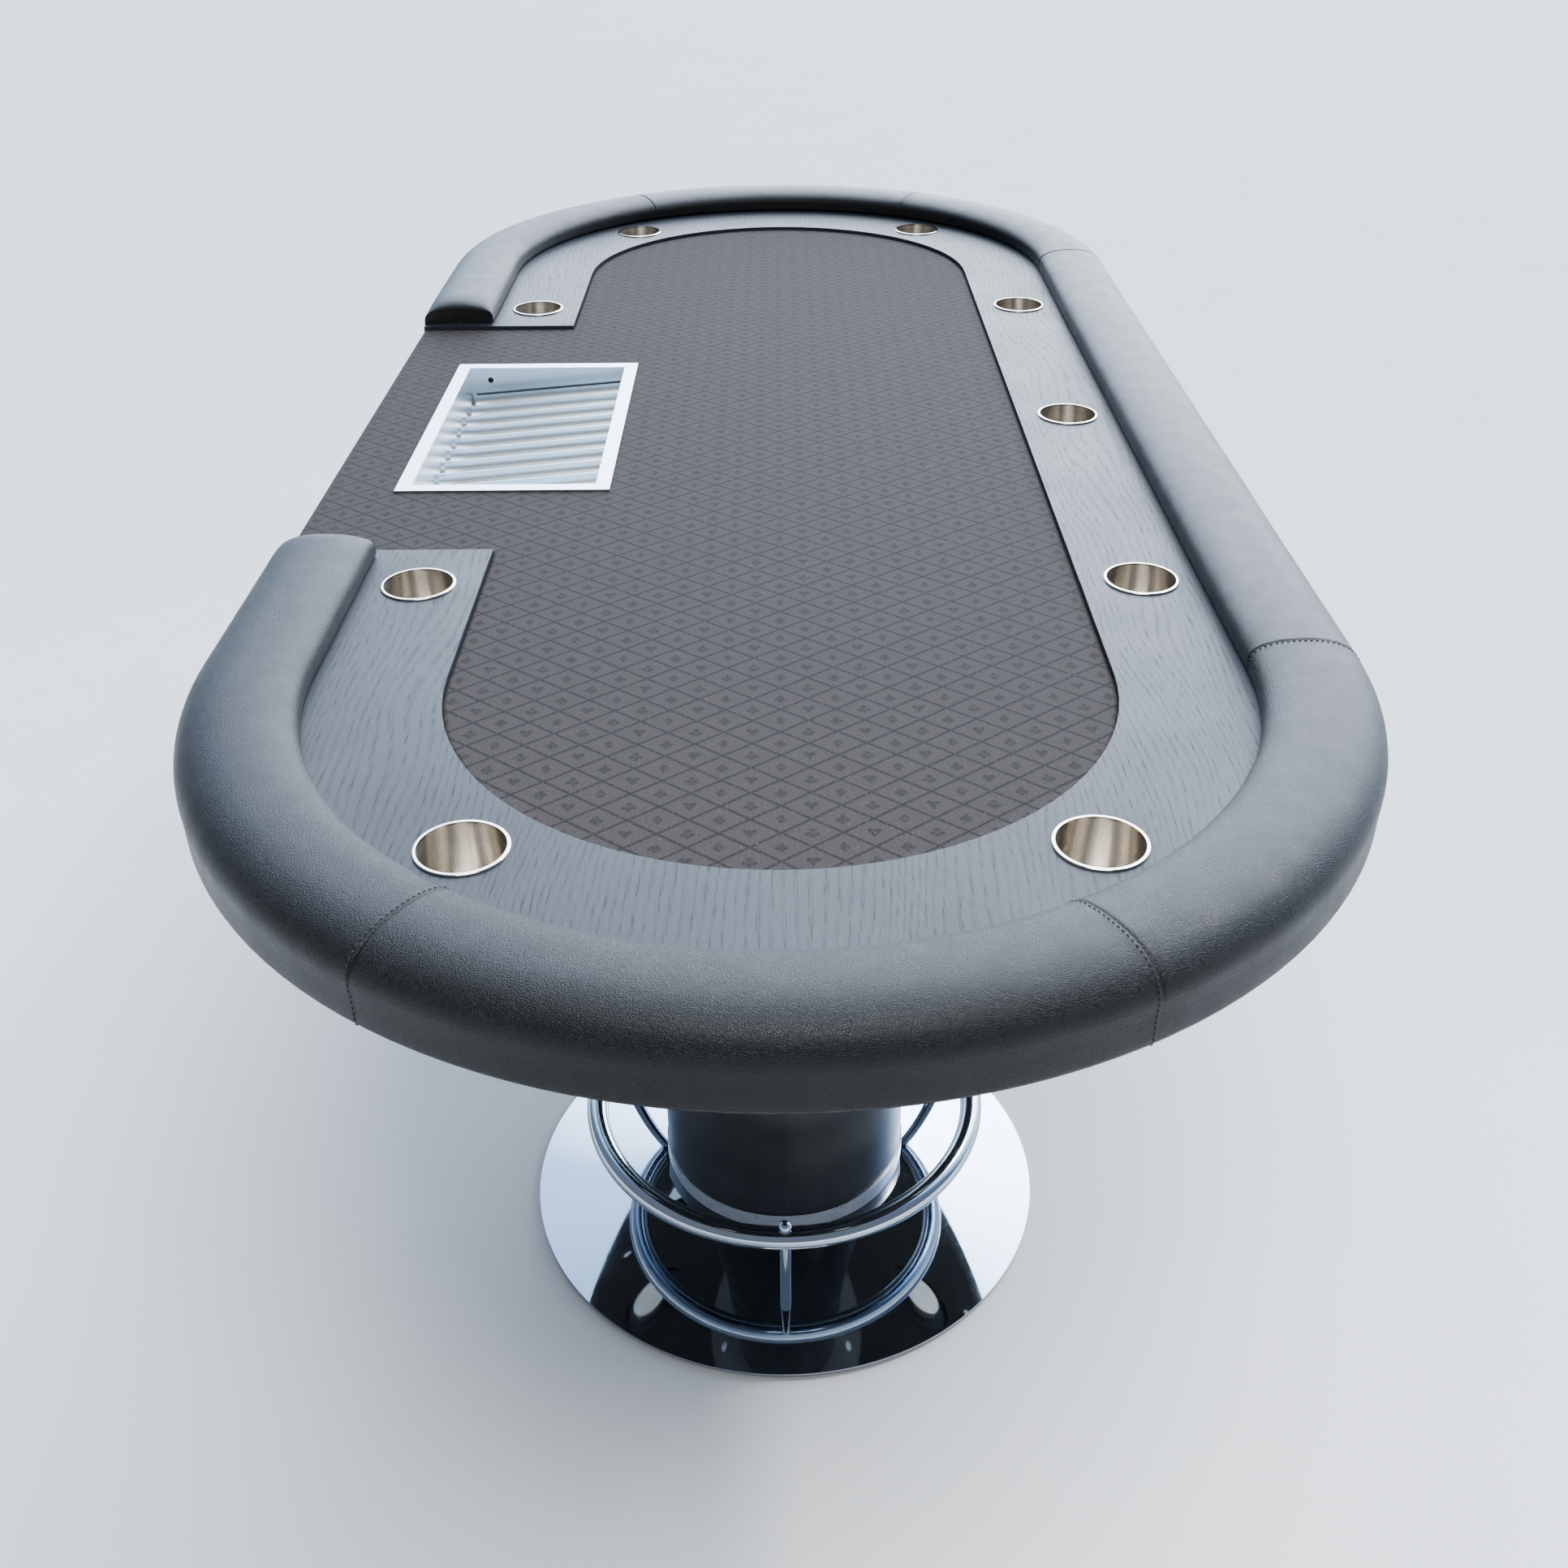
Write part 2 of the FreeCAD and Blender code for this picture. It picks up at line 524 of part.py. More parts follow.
# ================================================================ pedestals
def base_cover_section():
    """The spun steel base cover in the X-Z plane: a shallow cone with a flat top."""
    slope = math.atan2(BASE_NECK_HEIGHT - BASE_RIM_TOP, BASE_RADIUS - BASE_NECK_RADIUS)
    drop = BASE_SHEET / math.cos(slope)
    bore = TIE_ROD_RADIUS + 1.0
    rim_inner = BASE_RADIUS - BASE_SHEET
    flat_bottom = BASE_NECK_HEIGHT - BASE_SHEET
    inner_neck = BASE_NECK_RADIUS - BASE_SHEET * math.tan(slope / 2)
    inner_rim_top = BASE_RIM_TOP + BASE_SHEET * math.tan(slope) - drop
    return closed_face([
        (BASE_RADIUS, BASE_RIM_BOTTOM), (BASE_RADIUS, BASE_RIM_TOP),
        (BASE_NECK_RADIUS, BASE_NECK_HEIGHT), (bore, BASE_NECK_HEIGHT), (bore, flat_bottom),
        (inner_neck, flat_bottom), (rim_inner, inner_rim_top), (rim_inner, BASE_RIM_BOTTOM)])


def make_base(prefix, axis_x):
    """Chrome cover, cast weight and floor pads of one pedestal."""
    cover = turned(base_cover_section())
    posts = [cylinder(POST_RADIUS + SHANK_CLEARANCE, 0, BASE_NECK_HEIGHT, x, y)
             for x, y in ring_places(RING_RADIUS, POST_COUNT)]
    cover = cover.cut(posts)
    cover.translate(V(axis_x, 0, 0))
    save(prefix + "base_cover", cover)

    disc_top = BASE_NECK_HEIGHT - BASE_SHEET
    bore = TIE_ROD_RADIUS + SHANK_CLEARANCE
    weight = turned(closed_face([
        (bore, BASE_RIM_BOTTOM), (WEIGHT_PLATE_RADIUS, BASE_RIM_BOTTOM),
        (WEIGHT_PLATE_RADIUS, WEIGHT_PLATE_TOP), (WEIGHT_DISC_RADIUS, WEIGHT_PLATE_TOP),
        (WEIGHT_DISC_RADIUS, disc_top), (bore, disc_top)]))
    weight.translate(V(axis_x, 0, 0))
    save(prefix + "base_weight", weight)

    pads = [cylinder(PAD_RADIUS, 0, BASE_RIM_BOTTOM, axis_x + x, y)
            for x, y in ring_places(PAD_CIRCLE, PAD_COUNT, FULL_TURN / PAD_COUNT / 2)]
    save(prefix + "floor_pads", group(pads))


def make_column(prefix, axis_x):
    """Column, steel band, top plate and the rod that clamps them to the base."""
    plate_bottom = DECK_BOTTOM - TOP_PLATE_THICKNESS
    column = tube(COLUMN_RADIUS, COLUMN_RADIUS - COLUMN_WALL, BASE_NECK_HEIGHT, plate_bottom, axis_x)
    save(prefix + "column", column)

    band_outer = COLUMN_RADIUS + BAND_THICKNESS
    band = tube(band_outer, COLUMN_RADIUS, BAND_BOTTOM, BAND_BOTTOM + BAND_HEIGHT, axis_x)
    save(prefix + "column_band", band)

    plate = cylinder(TOP_PLATE_RADIUS, plate_bottom, DECK_BOTTOM, axis_x)
    plate = plate.cut(cylinder(TIE_ROD_RADIUS + SHANK_CLEARANCE, plate_bottom, DECK_BOTTOM, axis_x))
    plate = plate.cut(shank_holes(plate_screw_places(axis_x), plate_bottom, DECK_BOTTOM))
    save(prefix + "top_plate", plate)

    rod_top = DECK_BOTTOM + TIE_NUT_HEIGHT + 3.0
    save(prefix + "tie_rod", cylinder(TIE_ROD_RADIUS, TIE_ROD_BOTTOM, rod_top, axis_x))


def ring_surface(radius, axis_x=0.0):
    """The foot ring's tube as a solid ring of one tube radius."""
    return Part.makeTorus(RING_RADIUS, radius, V(axis_x, 0, RING_HEIGHT), UP)


def make_foot_ring(prefix, axis_x):
    """A foot ring and the posts that carry it."""
    ring_outside = ring_surface(RING_TUBE_RADIUS)
    ring_inside = ring_surface(RING_TUBE_RADIUS - RING_TUBE_WALL)
    places = ring_places(RING_RADIUS, POST_COUNT)
    stud_hole = STUD_RADIUS + SHANK_CLEARANCE
    holes = [cylinder(stud_hole, BASE_NECK_HEIGHT, STUD_TOP, x, y) for x, y in places]
    ring = ring_outside.cut(ring_inside).cut(holes)
    ring.translate(V(axis_x, 0, 0))
    save(prefix + "foot_ring", ring)

    for number, (x, y) in enumerate(places, start=1):
        post = cylinder(POST_RADIUS, WEIGHT_PLATE_TOP, RING_HEIGHT, x, y).cut(ring_outside)
        post = post.fuse(cylinder(STUD_RADIUS, RING_HEIGHT - 2 * RING_TUBE_RADIUS, STUD_TOP, x, y))
        post.translate(V(axis_x, 0, 0))
        save(prefix + "ring_post_" + str(number), post)


# ================================================================ shared fasteners
def dome_nut(x, y, ring):
    """A round-topped nut on the end of a post, seated on the ring's tube."""
    dome = Part.makeSphere(DOME_NUT_RADIUS, V(x, y, DOME_NUT_HEIGHT)).cut(ring)
    hole_top = STUD_TOP + SHANK_CLEARANCE
    return dome.cut(cylinder(STUD_RADIUS + SHANK_CLEARANCE, RING_HEIGHT, hole_top, x, y))


def tie_nut(axis_x):
    """The hexagon nut at the top of a tie rod."""
    top = DECK_BOTTOM + TIE_NUT_HEIGHT
    corners = [V(axis_x + x, y, DECK_BOTTOM) for x, y in ring_places(TIE_NUT_FLATS / math.sqrt(3), 6)]
    nut = Part.Face(Part.makePolygon(corners + corners[:1])).extrude(UP * TIE_NUT_HEIGHT)
    return nut.cut(cylinder(TIE_ROD_RADIUS + SHANK_CLEARANCE, DECK_BOTTOM, top, axis_x))


def make_shared_fasteners():
    """Fasteners that both pedestals use, one node for each kind."""
    plate_bottom = DECK_BOTTOM - TOP_PLATE_THICKNESS
    tip = DECK_TOP - SCREW_TIP_MARGIN
    dome_nuts, screws = [], []
    for axis_x in PEDESTAL_AXES:
        ring = ring_surface(RING_TUBE_RADIUS, axis_x)
        for x, y in ring_places(RING_RADIUS, POST_COUNT):
            dome_nuts.append(dome_nut(axis_x + x, y, ring))
        for x, y in plate_screw_places(axis_x):
            screws.append(headed_bolt(x, y, plate_bottom, tip))
    save("dome_nuts", group(dome_nuts))
    save("plate_screws", group(screws))
    save("tie_nuts", group([tie_nut(axis_x) for axis_x in PEDESTAL_AXES]))


# ================================================================ the whole table
os.makedirs("parts", exist_ok=True)

make_deck_boards()
make_racetrack()
top_of_cloth = make_playfield()
make_rail_core()
make_rail_covers()
for number, (x, y) in enumerate(cup_places(), start=1):
    save("cup_holder_" + str(number), make_cup(x, y))
make_tray(top_of_cloth)
for prefix, axis_x in zip(("near_", "far_"), PEDESTAL_AXES):
    make_base(prefix, axis_x)
    make_column(prefix, axis_x)
    make_foot_ring(prefix, axis_x)
make_shared_fasteners()
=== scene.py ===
import math

import bmesh
import bpy
from mathutils import Matrix, Vector, noise


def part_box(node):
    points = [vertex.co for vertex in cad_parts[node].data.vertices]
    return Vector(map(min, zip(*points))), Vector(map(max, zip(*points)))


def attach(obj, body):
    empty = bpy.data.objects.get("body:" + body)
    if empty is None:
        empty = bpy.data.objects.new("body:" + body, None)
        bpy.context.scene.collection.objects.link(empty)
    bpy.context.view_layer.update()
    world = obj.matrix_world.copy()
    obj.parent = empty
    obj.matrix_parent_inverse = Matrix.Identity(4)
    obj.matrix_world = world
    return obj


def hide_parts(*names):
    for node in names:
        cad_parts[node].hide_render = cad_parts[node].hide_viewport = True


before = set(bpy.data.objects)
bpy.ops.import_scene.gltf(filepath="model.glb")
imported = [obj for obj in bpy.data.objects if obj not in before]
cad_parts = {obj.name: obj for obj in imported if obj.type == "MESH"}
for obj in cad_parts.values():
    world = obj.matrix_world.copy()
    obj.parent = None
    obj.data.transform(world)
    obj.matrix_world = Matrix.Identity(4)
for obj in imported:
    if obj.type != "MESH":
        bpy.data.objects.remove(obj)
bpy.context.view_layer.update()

# Looks of an oval casino card table.  Metres, in the same frame as the packed
# model: +X to the near end, +Y to the players' side, -Y to the dealer, +Z up.

# ---------------------------------------------------------------- table outline
STRAIGHT = 0.693             # centres of the end circles, at +X and -X
RAIL_INNER = 0.429
RAIL_OUTER = 0.533
RAIL_CROWN = 0.480           # distance outward of the highest line of the rail
RAIL_END_X = 0.420
WINDOW = 0.3075
RACETRACK_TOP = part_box("racetrack")[1].z
RAIL_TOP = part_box("rail_cover_player_side")[1].z
CLOTH_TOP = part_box("tray_flange")[0].z
DECK_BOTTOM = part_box("deck_board_middle")[0].z
CUT_X = 0.405                # the racetrack's ends, each side of the dealer

# ---------------------------------------------------------------- rail section
INNER_WALL_TOP = RAIL_TOP - 0.020
SIDE_TOP = RAIL_TOP - 0.033
SKIRT_STEP = 0.0007          # the skirt lies this far inside the foam's side
SKIRT_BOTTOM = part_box("rail_cover_player_side")[0].z + 0.0004
FOLD_UNDER = 0.022           # cover stapled under the deck
CROWN_POWER = 2.25
CROWN_STEPS = 12
WALL_STEPS = 5               # points up the inside wall, and down the skirt
CAP_FOOT = -10               # the free ends are closed down to this point

# ---------------------------------------------------------------- rail cover
SECTION_STEP = 0.008
SEAM_REACH = 0.014
SEAM_STEPS = 9
SEAM_DEPTH = 0.0010
SEAM_WIDTH = 0.0013
SEAM_FADE = 0.015            # a seam reaches its full depth this far up
PUCKER = 0.0004
PUCKER_WIDTH = 0.008
SWELL_FADE = 0.012           # the stuffing reaches its full unevenness this far up
BROAD_SWELL = 0.00055
CLOSE_SWELL = 0.00018
SWELL_LEVEL = 0.0003
SKIN_GAP = 0.0001            # the cover lies at least this far inside its outline
END_LENGTH = 0.040           # the free ends are drawn down over this length
END_DEPTH = 0.012
END_STEPS = 7
NEAR_SEAM_DEALER = -34.0
NEAR_SEAM_PLAYER = 29.0
FAR_SEAM_PLAYER = 59.0       # from the start of the far end
FAR_SEAM_DEALER = 121.5
STITCH_LENGTH = 0.0036
STITCH_PITCH = 0.0052
STITCH_RADIUS = 0.00050
STITCH_OFFSET = 0.0030
STITCH_SIDES = 6
STITCH_FIRST = 3             # points of the section left without stitches,
STITCH_LAST = 2              # at the inside foot and at the fold

# ---------------------------------------------------------------- playing cloth
# Steps down at the racetrack: distance in from the edge, and depth.
EDGE_DIPS = ((0.0, 0.0030), (0.0009, 0.0014), (0.0022, 0.0004), (0.0045, 0.0))
# The turn over the dealer's edge: distance out, and depth.
WRAP = ((0.0, 0.0), (0.0021, 0.0005), (0.0037, 0.0018), (0.0047, 0.0034), (0.0050, 0.0055))
CLOTH_FRONT = RAIL_OUTER - 0.001
CLOTH_FOLD = CLOTH_FRONT - WRAP[-1][0]   # where the cloth starts to turn down
SIDE_STEPS = 20
ARC_STEPS = 72
PLAYER_STEPS = 60
FRONT_STEPS = 41
DROP_STEPS = 4
DROP_START = 0.012
CLOTH_DROP = 0.001           # how far it hangs below the deck
HOLE_MARGIN = 0.0015
HOLE_LIP = 0.0008
HOLE_FOOT = 0.0002           # above the playfield board
SUIT_CELL = (39.3, 49.5)     # one diamond of the lattice, in millimetres
WEAVE_PITCH = 0.62           # in millimetres

OAK_RING = 0.0072            # from one growth ring to the next

# ---------------------------------------------------------------- stage and light
FLOOR_REACH = 14.0
FLOOR_TONES = ((0.62, 0.615, 0.60), (0.66, 0.655, 0.64))
SKY_BRIGHTEST = (-0.78, 0.24, 0.42)
SKY_AWAY = (0.26, 0.29, 0.34)
SKY_GLOW = (15.0, 17.0, 20.0)
SKY_BETWEEN = ((0.45, (0.24, 0.34, 0.50)), (0.76, (1.9, 2.7, 3.9)))
SUN_FROM = (-0.50, 0.62, 0.80)
SUN_ENERGY = 2.1
SUN_ANGLE = 5.0
SUN_COLOUR = (1.0, 0.96, 0.90)
LAMP_PLACE = (1.9, 0.15, 3.2)
LAMP_FROM = (0.30, 0.05, 1.0)
LAMP_ENERGY = 130.0
LAMP_SIZE = 1.5

# ---------------------------------------------------------------- camera
CAMERA_PLACE = (1.9945, 0.0022, 1.4724)
CAMERA_TURNS = ((89.983, "Z"), (57.513, "X"), (-0.441, "Z"))
SENSOR_WIDTH = 36.0
LENS = 36.85


# ================================================================ plain helpers
def add_object(name, data):
    """A new object in the scene."""
    made = bpy.data.objects.new(name, data)
    bpy.context.scene.collection.objects.link(made)
    return made


def add_lamp(name, kind, energy, light_from, place=(0.0, 0.0, 0.0)):
    """A lamp that shines from a direction."""
    light = bpy.data.lights.new(name, kind)
    light.energy = energy
    lamp = add_object(name, light)
    lamp.location = place
    lamp.rotation_euler = Vector(light_from).to_track_quat("Z", "Y").to_euler()
    return light


def add_mesh(name, vertices, faces, material):
    """A new smooth mesh object in the scene with one material."""
    mesh = bpy.data.meshes.new(name)
    mesh.from_pydata(vertices, [], faces)
    mesh.update()
    mesh.materials.append(material)
    mesh.polygons.foreach_set("use_smooth", [True] * len(mesh.polygons))
    return add_object(name, mesh)


def grid_faces(rows, columns, first=0):
    """Quads between neighbouring rows of a grid of vertices."""
    faces = []
    for row in range(rows - 1):
        for column in range(columns - 1):
            corner = first + row * columns + column
            faces.append((corner, corner + columns, corner + columns + 1, corner + 1))
    return faces


def spread(start, end, count):
    """Evenly spaced numbers from start to end."""
    return [start + (end - start) * step / (count - 1) for step in range(count)]


# ================================================================ materials
class Paint:
    """A node material and short ways to add to it."""

    def __init__(self, name):
        self.material = bpy.data.materials.new(name)
        self.material.use_nodes = True
        self.tree = self.material.node_tree
        self.shader = self.tree.nodes["Principled BSDF"]
        self.place = self.node("TexCoord").outputs["Object"]

    def node(self, kind, inputs=None, **settings):
        made = self.tree.nodes.new("ShaderNode" + kind)
        for key, value in settings.items():
            setattr(made, key, value)
        for key, value in (inputs or {}).items():
            self.feed(made.inputs[key], value)
        return made

    def feed(self, socket, value):
        if isinstance(value, bpy.types.NodeSocket):
            self.tree.links.new(value, socket)
        else:
            socket.default_value = value

    def surface(self, **values):
        """Set or link sockets of the shader, with _ for a space in a name."""
        for key, value in values.items():
            self.feed(self.shader.inputs[key.replace("_", " ")], value)
        return self.material

    def math(self, operation, first, second=0.0, third=0.0):
        inputs = {0: first, 1: second, 2: third}
        return self.node("Math", inputs, operation=operation).outputs[0]

    def ramp(self, value, low, high, to_low=0.0, to_high=1.0):
        inputs = {"Value": value, "From Min": low, "From Max": high, "To Min": to_low}
        inputs["To Max"] = to_high
        return self.node("MapRange", inputs, interpolation_type="SMOOTHSTEP").outputs[0]

    def mix(self, factor, first, second):
        inputs = {0: factor, 6: (*first, 1.0) if isinstance(first, tuple) else first}
        inputs[7] = (*second, 1.0) if isinstance(second, tuple) else second
        return self.node("Mix", inputs, data_type="RGBA").outputs[2]

    def stretched(self, scale):
        inputs = {"Vector": self.place, "Scale": scale}
        return self.node("Mapping", inputs).outputs[0]

    def noise(self, scale, detail=3.0, vector=None):
        inputs = {"Vector": vector or self.place, "Scale": scale, "Detail": detail}
        return self.node("TexNoise", inputs).outputs["Fac"]

    def cells(self, scale, feature="F1", output="Distance"):
        inputs = {"Vector": self.place, "Scale": scale}
        return self.node("TexVoronoi", inputs, feature=feature).outputs[output]

    def axes(self, vector=None):
        parts = self.node("SeparateXYZ", {0: vector or self.place}).outputs
        return parts[0], parts[1], parts[2]

    def bump(self, height, distance, strength=1.0):
        inputs = {"Height": height, "Distance": distance, "Strength": strength}
        made = self.node("Bump", inputs).outputs[0]
        self.feed(self.shader.inputs["Normal"], made)


def vinyl():
    """Black upholstery vinyl with a fine pebble grain."""
    paint = Paint("rail_vinyl")
    pebble = paint.ramp(paint.cells(620.0, "DISTANCE_TO_EDGE"), 0.0, 0.22)
    hide = paint.noise(38.0, 4.0)
    fine = paint.noise(1500.0, 2.0)
    height = paint.math("MULTIPLY_ADD", fine, 0.25, pebble)
    paint.bump(paint.math("MULTIPLY_ADD", hide, 0.7, height), 0.00034, 0.7)
    worn = paint.ramp(hide, 0.2, 0.8, 0.43, 0.50)
    rough = paint.math("MULTIPLY_ADD", pebble, -0.07, worn)
    colour = paint.mix(pebble, (0.0018, 0.0019, 0.0023), (0.0036, 0.0038, 0.0045))
    return paint.surface(Base_Color=colour, Roughness=rough, Specular_IOR_Level=0.2)


def thread():
    """Black twisted sewing thread."""
    paint = Paint("rail_thread")
    inputs = {"Vector": paint.place, "Scale": 900.0}
    twist = paint.node("TexWave", inputs, bands_direction="DIAGONAL").outputs["Fac"]
    paint.bump(twist, 0.00015)
    colour = paint.mix(twist, (0.002, 0.002, 0.0025), (0.007, 0.0075, 0.009))
    return paint.surface(Base_Color=colour, Roughness=0.6)


def suits(paint, across, along):
    """Distance outside each of the four card suits in one cell, in millimetres."""
    def disc(x, y, radius):
        dx = paint.math("SUBTRACT", across, x)
        dy = paint.math("SUBTRACT", along, y)
        square_x = paint.math("MULTIPLY", dx, dx)
        square = paint.math("ADD", square_x, paint.math("MULTIPLY", dy, dy))
        return paint.math("SUBTRACT", paint.math("SQRT", square), radius)

    def wedge(tip, base, half_width):
        """A triangle upright on the symbol's axis, from its tip to its base."""
        height = base - tip
        fall = paint.math("DIVIDE", paint.math("SUBTRACT", along, tip), height)
        side = paint.math("MULTIPLY_ADD", fall, -half_width, paint.math("ABSOLUTE", across))
        over = paint.math("MULTIPLY", paint.math("SUBTRACT", fall, 1.0), abs(height))
        return paint.math("MAXIMUM", side, over)

    def joined(shapes):
        total = shapes[0]
        for shape in shapes[1:]:
            total = paint.math("MINIMUM", total, shape)
        return total

    stem = wedge(0.5, -7.4, 3.2)
    spade = joined([disc(2.9, -1.6, 3.1), disc(-2.9, -1.6, 3.1), wedge(7.6, -2.2, 5.9), stem])
    club = joined([disc(0.0, 3.4, 3.1), disc(3.3, -1.8, 3.1), disc(-3.3, -1.8, 3.1), stem])
    heart = joined([disc(2.9, 2.6, 3.3), disc(-2.9, 2.6, 3.3), wedge(-7.4, 2.6, 6.1)])
    diamond = joined([wedge(7.6, 0.0, 5.4), wedge(-7.6, 0.0, 5.4)])
    return spade, diamond, heart, club


def cloth():
    """Charcoal speed cloth woven with a diamond lattice and a card suit in each diamond."""
    paint = Paint("playing_cloth")
    cell_x, cell_y = SUIT_CELL
    x, y, _ = paint.axes(paint.stretched((1000.0, 1000.0, 1000.0)))
    column = paint.math("DIVIDE", x, cell_x)
    row = paint.math("DIVIDE", y, cell_y)
    first = paint.math("ADD", column, row)
    second = paint.math("SUBTRACT", column, row)
    inside_first = paint.math("SUBTRACT", paint.math("FRACT", first), 0.5)
    inside_second = paint.math("SUBTRACT", paint.math("FRACT", second), 0.5)
    along = paint.math("ADD", inside_first, inside_second)
    along = paint.math("MULTIPLY", along, -cell_x / 2)
    across = paint.math("SUBTRACT", inside_first, inside_second)
    across = paint.math("MULTIPLY", across, cell_y / 2)
    spade, diamond, heart, club = suits(paint, across, along)

    def odd(number):
        half = paint.math("FRACT", paint.math("MULTIPLY", number, 0.5))
        return paint.math("GREATER_THAN", half, 0.5)

    def pick(switch, off, on):
        return paint.node("Mix", {0: switch, 2: off, 3: on}).outputs[0]

    odd_first, odd_second = odd(first), odd(second)
    symbol = pick(odd_second, pick(odd_first, spade, heart), pick(odd_first, club, diamond))
    edge_first = paint.math("SUBTRACT", 0.5, paint.math("ABSOLUTE", inside_first))
    edge_second = paint.math("SUBTRACT", 0.5, paint.math("ABSOLUTE", inside_second))
    edge = paint.math("MINIMUM", edge_first, edge_second)
    line = paint.ramp(edge, 0.034, 0.058, 1.0, 0.0)
    motif = paint.math("MAXIMUM", paint.ramp(symbol, -0.9, 0.2, 0.8, 0.0), line)
    warp = paint.math("SINE", paint.math("MULTIPLY", x, 2 * math.pi / WEAVE_PITCH))
    weft = paint.math("SINE", paint.math("MULTIPLY", y, 2 * math.pi / WEAVE_PITCH))
    weave = paint.math("MULTIPLY", warp, weft)
    slub = paint.noise(1.0, 3.0, paint.stretched((70.0, 900.0, 70.0)))
    mottle = paint.noise(420.0, 2.0)
    glint = paint.ramp(paint.cells(900.0, "F1", "Color"), 0.93, 0.97)
    ground = paint.mix(slub, (0.0225, 0.0195, 0.0190), (0.038, 0.0330, 0.0320))
    dark = paint.mix(slub, (0.0078, 0.0070, 0.0072), (0.0140, 0.0125, 0.0127))
    colour = paint.mix(motif, ground, dark)
    colour = paint.mix(paint.ramp(mottle, 0.35, 0.75, 0.0, 0.35), colour, (0.050, 0.044, 0.044))
    colour = paint.mix(paint.math("MULTIPLY", glint, 0.35), colour, (0.20, 0.17, 0.165))
    height = paint.math("MULTIPLY_ADD", motif, -0.6, paint.math("MULTIPLY", weave, 0.5))
    paint.bump(paint.math("MULTIPLY_ADD", mottle, 0.8, height), 0.00012, 0.6)
    rough = paint.math("MULTIPLY_ADD", glint, -0.25, 0.72)
    return paint.surface(Base_Color=colour, Roughness=rough, Specular_IOR_Level=0.03,
                         Sheen_Weight=0.02, Sheen_Roughness=0.45)


def oak(name, pale, dark, gloss, pore_depth):
    """Open-grained oak or plywood with its grain along X."""
    paint = Paint(name)
    _, y, z = paint.axes()
    drift = paint.noise(1.0, 1.5, paint.stretched((1.9, 5.5, 5.5)))
    wander = paint.noise(1.0, 2.0, paint.stretched((7.0, 30.0, 30.0)))
    across = paint.math("ADD", y, z)
    warped = paint.math("MULTIPLY_ADD", drift, 0.135, across)
    warped = paint.math("MULTIPLY_ADD", wander, 0.012, warped)
    ring = paint.math("SINE", paint.math("MULTIPLY", warped, 2 * math.pi / OAK_RING))
    early = paint.ramp(ring, -0.1, 0.95)
    pores = paint.noise(1.0, 3.0, paint.stretched((60.0, 1700.0, 1700.0)))
    pore = paint.ramp(pores, 0.48, 0.66)
    pore = paint.math("MULTIPLY", pore, paint.ramp(early, 0.0, 1.0, 0.25, 1.0))
    cloudy = paint.noise(9.0, 3.0)
    colour = paint.mix(paint.math("MULTIPLY", early, 0.34), pale, dark)
    colour = paint.mix(pore, colour, tuple(part * 0.7 for part in dark))
    height = paint.math("MULTIPLY_ADD", early, -0.12, paint.math("MULTIPLY", pore, -1.0))
    paint.bump(height, pore_depth, 0.8)
    satin = paint.ramp(cloudy, 0.2, 0.8, gloss, gloss + 0.07)
    rough = paint.math("MULTIPLY_ADD", pore, 0.2, satin)
    return paint.surface(Base_Color=colour, Roughness=rough, Specular_IOR_Level=0.16)


def turned_steel(name, colour, roughness, anisotropy, lip_height=None):
    """Steel finished on a lathe, with lines round its own upright axis."""
    paint = Paint(name)
    _, _, z = paint.axes()
    lines = paint.noise(1.0, 4.0, paint.stretched((25.0, 25.0, 5200.0)))
    smear = paint.noise(55.0, 3.0)
    tone = paint.mix(paint.ramp(lines, 0.3, 0.7), tuple(part * 0.86 for part in colour), colour)
    rough = paint.math("MULTIPLY_ADD", smear, 0.08, roughness)
    if lip_height:
        lip = paint.ramp(z, lip_height - 0.0006, lip_height + 0.0004)
        rough = paint.math("MULTIPLY", rough, paint.ramp(lip, 0.0, 1.0, 1.0, 0.25))
    paint.bump(lines, 0.00002, 0.5)
    tangent = paint.node("Tangent", direction_type="RADIAL", axis="Z").outputs[0]
    return paint.surface(Base_Color=tone, Metallic=1.0, Roughness=rough, Anisotropic=anisotropy,
                         Anisotropic_Rotation=0.25, Tangent=tangent)


def chrome(name, roughness):
    """Mirror chrome with faint wipe marks."""
    paint = Paint(name)
    wipes = paint.noise(1.0, 3.0, paint.stretched((14.0, 22.0, 60.0)))
    dust = paint.noise(900.0, 2.0)
    rough = paint.ramp(wipes, 0.35, 0.75, roughness, roughness * 2.0)
    rough = paint.math("MULTIPLY_ADD", paint.ramp(dust, 0.62, 0.72), 0.08, rough)
    colour = paint.mix(wipes, (0.42, 0.48, 0.56), (0.48, 0.54, 0.62))
    return paint.surface(Base_Color=colour, Metallic=1.0, Roughness=rough)


